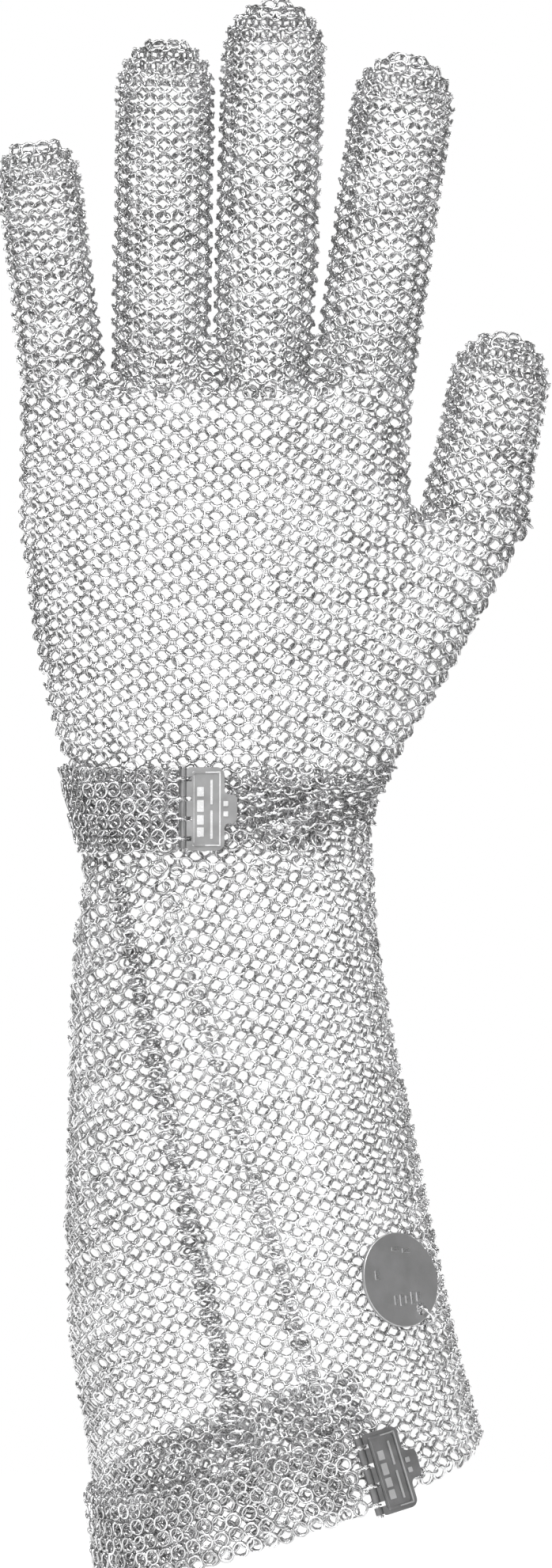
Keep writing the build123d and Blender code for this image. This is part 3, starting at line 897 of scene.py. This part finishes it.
def bars(name, body, material, origin, x, y, sizes):
    """Low raised bars with rounded edges: (middle x, middle y, length, width) in mm."""
    out = x.cross(y)
    shape = bmesh.new()
    for across, along, length, width in sizes:
        turn = Matrix((x, y, out)).transposed().to_4x4()
        place = Matrix.Translation(origin + x * across * MM + y * along * MM) @ turn
        scale = Matrix.Diagonal((width * MM, length * MM, BAR_HEIGHT, 1))
        bmesh.ops.create_cube(shape, size=1, matrix=place @ scale)
    bmesh.ops.bevel(shape, geom=list(shape.edges), offset=0.08 * MM, segments=2, affect="EDGES")
    mesh = bpy.data.meshes.new(name)
    shape.to_mesh(mesh)
    shape.free()
    mesh.materials.append(material)
    piece = bpy.data.objects.new(name, mesh)
    bpy.context.scene.collection.objects.link(piece)
    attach(piece, body)


def flat_face(node):
    """Middle of a flat CAD node's box, and its outward direction on the back of the hand."""
    corners = np.array([v.co for v in frame["nodes"][node].data.vertices])
    normal = Vector(np.linalg.svd(corners - corners.mean(0), full_matrices=False)[2][2])
    if normal.y > 0:
        normal.negate()
    return Vector((corners.max(0) + corners.min(0)) / 2), normal


PLATE_LINES = (  # a stamped frame and two lines of marks, across and along the plate
    (3.5, 0, 18.6, 0.45),
    (-3.2, 0, 18.6, 0.45),
    (0.15, 9.2, 0.45, 7.1),
    (0.15, -9.2, 0.45, 7.1),
    (-1.4, -5.9, 2.4, 1.7),
    (-1.4, -2.8, 2.4, 1.7),
    (-1.4, 0.7, 3.0, 1.7),
    (-1.4, 4.3, 2.4, 1.7),
    (1.4, -4.0, 7.2, 0.6),
    (1.4, 4.2, 6.2, 0.6),
    (5.0, -1.3, 1.3, 1.2),
    (5.0, 1.3, 1.3, 1.2),
)
# The wrist clasp's raised marks take the steel with a painted highlight. The hem clasp's marks take the matt
# steel, which is lighter than the hem plate's painted shade.
for which, slot, steel_of, lines in (
    ("wrist", "clasp_steel", PAINTED_HIGHLIGHT_STAMP_STEEL, PLATE_LINES),
    ("hem", "matt_steel", MATT_STEEL, PLATE_LINES),
):
    along = -Vector(JOINTS[f"{which}_clasp_swing"]["axis"])
    out = flat_face(f"{which}_clasp_plate")[1]
    across = along.cross(out).normalized()
    origin = joint_at(f"{which}_clasp_swing") + across * PLATE_MIDDLE * MM + out * PLATE_FACE * MM
    bars(f"{which}_clasp_marks", f"{which}_clasp", steel_of, origin, across, along, lines)

TAG_LINES = (  # a row of marks at the foot, one at the left and two at the top
    (-2.2, -5.2, 2.4, 1.2),
    (-0.4, -5.2, 3.0, 1.2),
    (1.4, -5.0, 2.0, 1.2),
    (3.2, -4.7, 3.2, 1.2),
    (5.0, -4.4, 2.4, 1.2),
    (-7.6, 1.2, 2.4, 1.5),
    (-0.8, 7.8, 1.1, 2.6),
    (2.6, 7.4, 1.1, 2.6),
)
tag_middle, tag_out = flat_face("size_tag")
tag_up = (UP - tag_out * UP.dot(tag_out)).normalized()
# The tag's raised marks take the steel with a painted highlight.
bars(
    "size_tag_marks", "tag", PAINTED_HIGHLIGHT_STAMP_STEEL,
    tag_middle + tag_out * TAG_FACE * MM, tag_up.cross(tag_out), tag_up, TAG_LINES,
)


# ------------------------------------------------------------ floor, light, camera
low, high = cad_box
FLOOR_SPREAD = 1.1  # radius of the floor, which fades out towards its rim
floor_mesh = bpy.data.meshes.new("floor")
floor_shape = bmesh.new()
bmesh.ops.create_circle(floor_shape, cap_ends=True, segments=96, radius=FLOOR_SPREAD)
floor_shape.to_mesh(floor_mesh)
floor_shape.free()
floor = bpy.data.objects.new("floor", floor_mesh)
floor.location = (0, 0, low.z - 2 * MM)
bpy.context.scene.collection.objects.link(floor)

ground = Nodes("pale floor")
ground.shader.inputs["Base Color"].default_value = (0.9, 0.9, 0.9, 1)
ground.shader.inputs["Roughness"].default_value = 0.9
ground.shader.inputs["Emission Color"].default_value = (1, 1, 1, 1)
ground.shader.inputs["Emission Strength"].default_value = 0.45
distance = ground.add("ShaderNodeVectorMath", operation="LENGTH")
ground.link(ground.place, distance.inputs[0])
fade = ground.add("ShaderNodeMapRange", interpolation_type="SMOOTHSTEP")
fade.inputs["From Min"].default_value = 0.25 * FLOOR_SPREAD
fade.inputs["From Max"].default_value = 0.98 * FLOOR_SPREAD
fade.inputs["To Min"].default_value = 1.0
fade.inputs["To Max"].default_value = 0.0
ground.link(distance.outputs["Value"], fade.inputs["Value"])
ground.link(fade.outputs["Result"], ground.shader.inputs["Alpha"])
floor_mesh.materials.append(ground.material)

# The room is white to the camera, and dimmer to the steel, which mirrors it.
world = bpy.data.worlds.new("studio")
bpy.context.scene.world = world
world.use_nodes = True
sky = world.node_tree
room = sky.nodes["Background"]
room.inputs["Color"].default_value = (1, 1, 1, 1)
room.inputs["Strength"].default_value = ROOM_LIGHT
backdrop = sky.nodes.new("ShaderNodeBackground")
backdrop.inputs["Color"].default_value = (1, 1, 1, 1)
backdrop.inputs["Strength"].default_value = 1.0
either = sky.nodes.new("ShaderNodeMixShader")
path = sky.nodes.new("ShaderNodeLightPath")
sky.links.new(path.outputs["Is Camera Ray"], either.inputs["Fac"])
sky.links.new(room.outputs["Background"], either.inputs[1])
sky.links.new(backdrop.outputs["Background"], either.inputs[2])
sky.links.new(either.outputs["Shader"], sky.nodes["World Output"].inputs["Surface"])

centre = (low + high) / 2


def area_light(name, place, size, power, target=centre):
    light = bpy.data.lights.new(name, "AREA")
    light.shape = "RECTANGLE"
    light.size, light.size_y = size
    light.energy = power
    lamp = bpy.data.objects.new(name, light)
    lamp.location = place
    lamp.rotation_mode = "QUATERNION"
    lamp.rotation_quaternion = (target - Vector(place)).to_track_quat("-Z", "Y")
    lamp.visible_camera = False
    bpy.context.scene.collection.objects.link(lamp)


area_light("key", (-0.9, -1.3, 1.5), (0.4, 0.4), 17)
area_light("fill", (1.4, -1.2, 0.5), (0.3, 0.8), 2)
area_light("front", (-0.2, -2.6, 0.8), (1.2, 0.9), 6)
area_light("over_fingers", (0.05, -0.55, 0.95), (0.4, 0.3), 6.5, Vector((0, 0, high.z)))
area_light("top", (0.1, 0.3, 1.7), (0.8, 0.6), 8)
area_light("back_left", (-1.2, 1.1, 0.9), (0.6, 1.0), 9)
area_light("back_right", (1.0, 1.4, 0.6), (0.6, 1.0), 6)

camera_data = bpy.data.cameras.new("camera")
camera_data.sensor_width = 36
camera_data.lens = camera_data.sensor_width * DISTANCE / SHOWN_HEIGHT
camera_data.clip_end = 50
camera = bpy.data.objects.new("camera", camera_data)
camera.location = Vector(SHOWN_MIDDLE) - TO_PALM * DISTANCE
camera.rotation_mode = "QUATERNION"
camera.rotation_quaternion = TO_PALM.to_track_quat("-Z", "Y")
bpy.context.scene.collection.objects.link(camera)
bpy.context.scene.camera = camera
bpy.context.scene.view_settings.view_transform = "Standard"
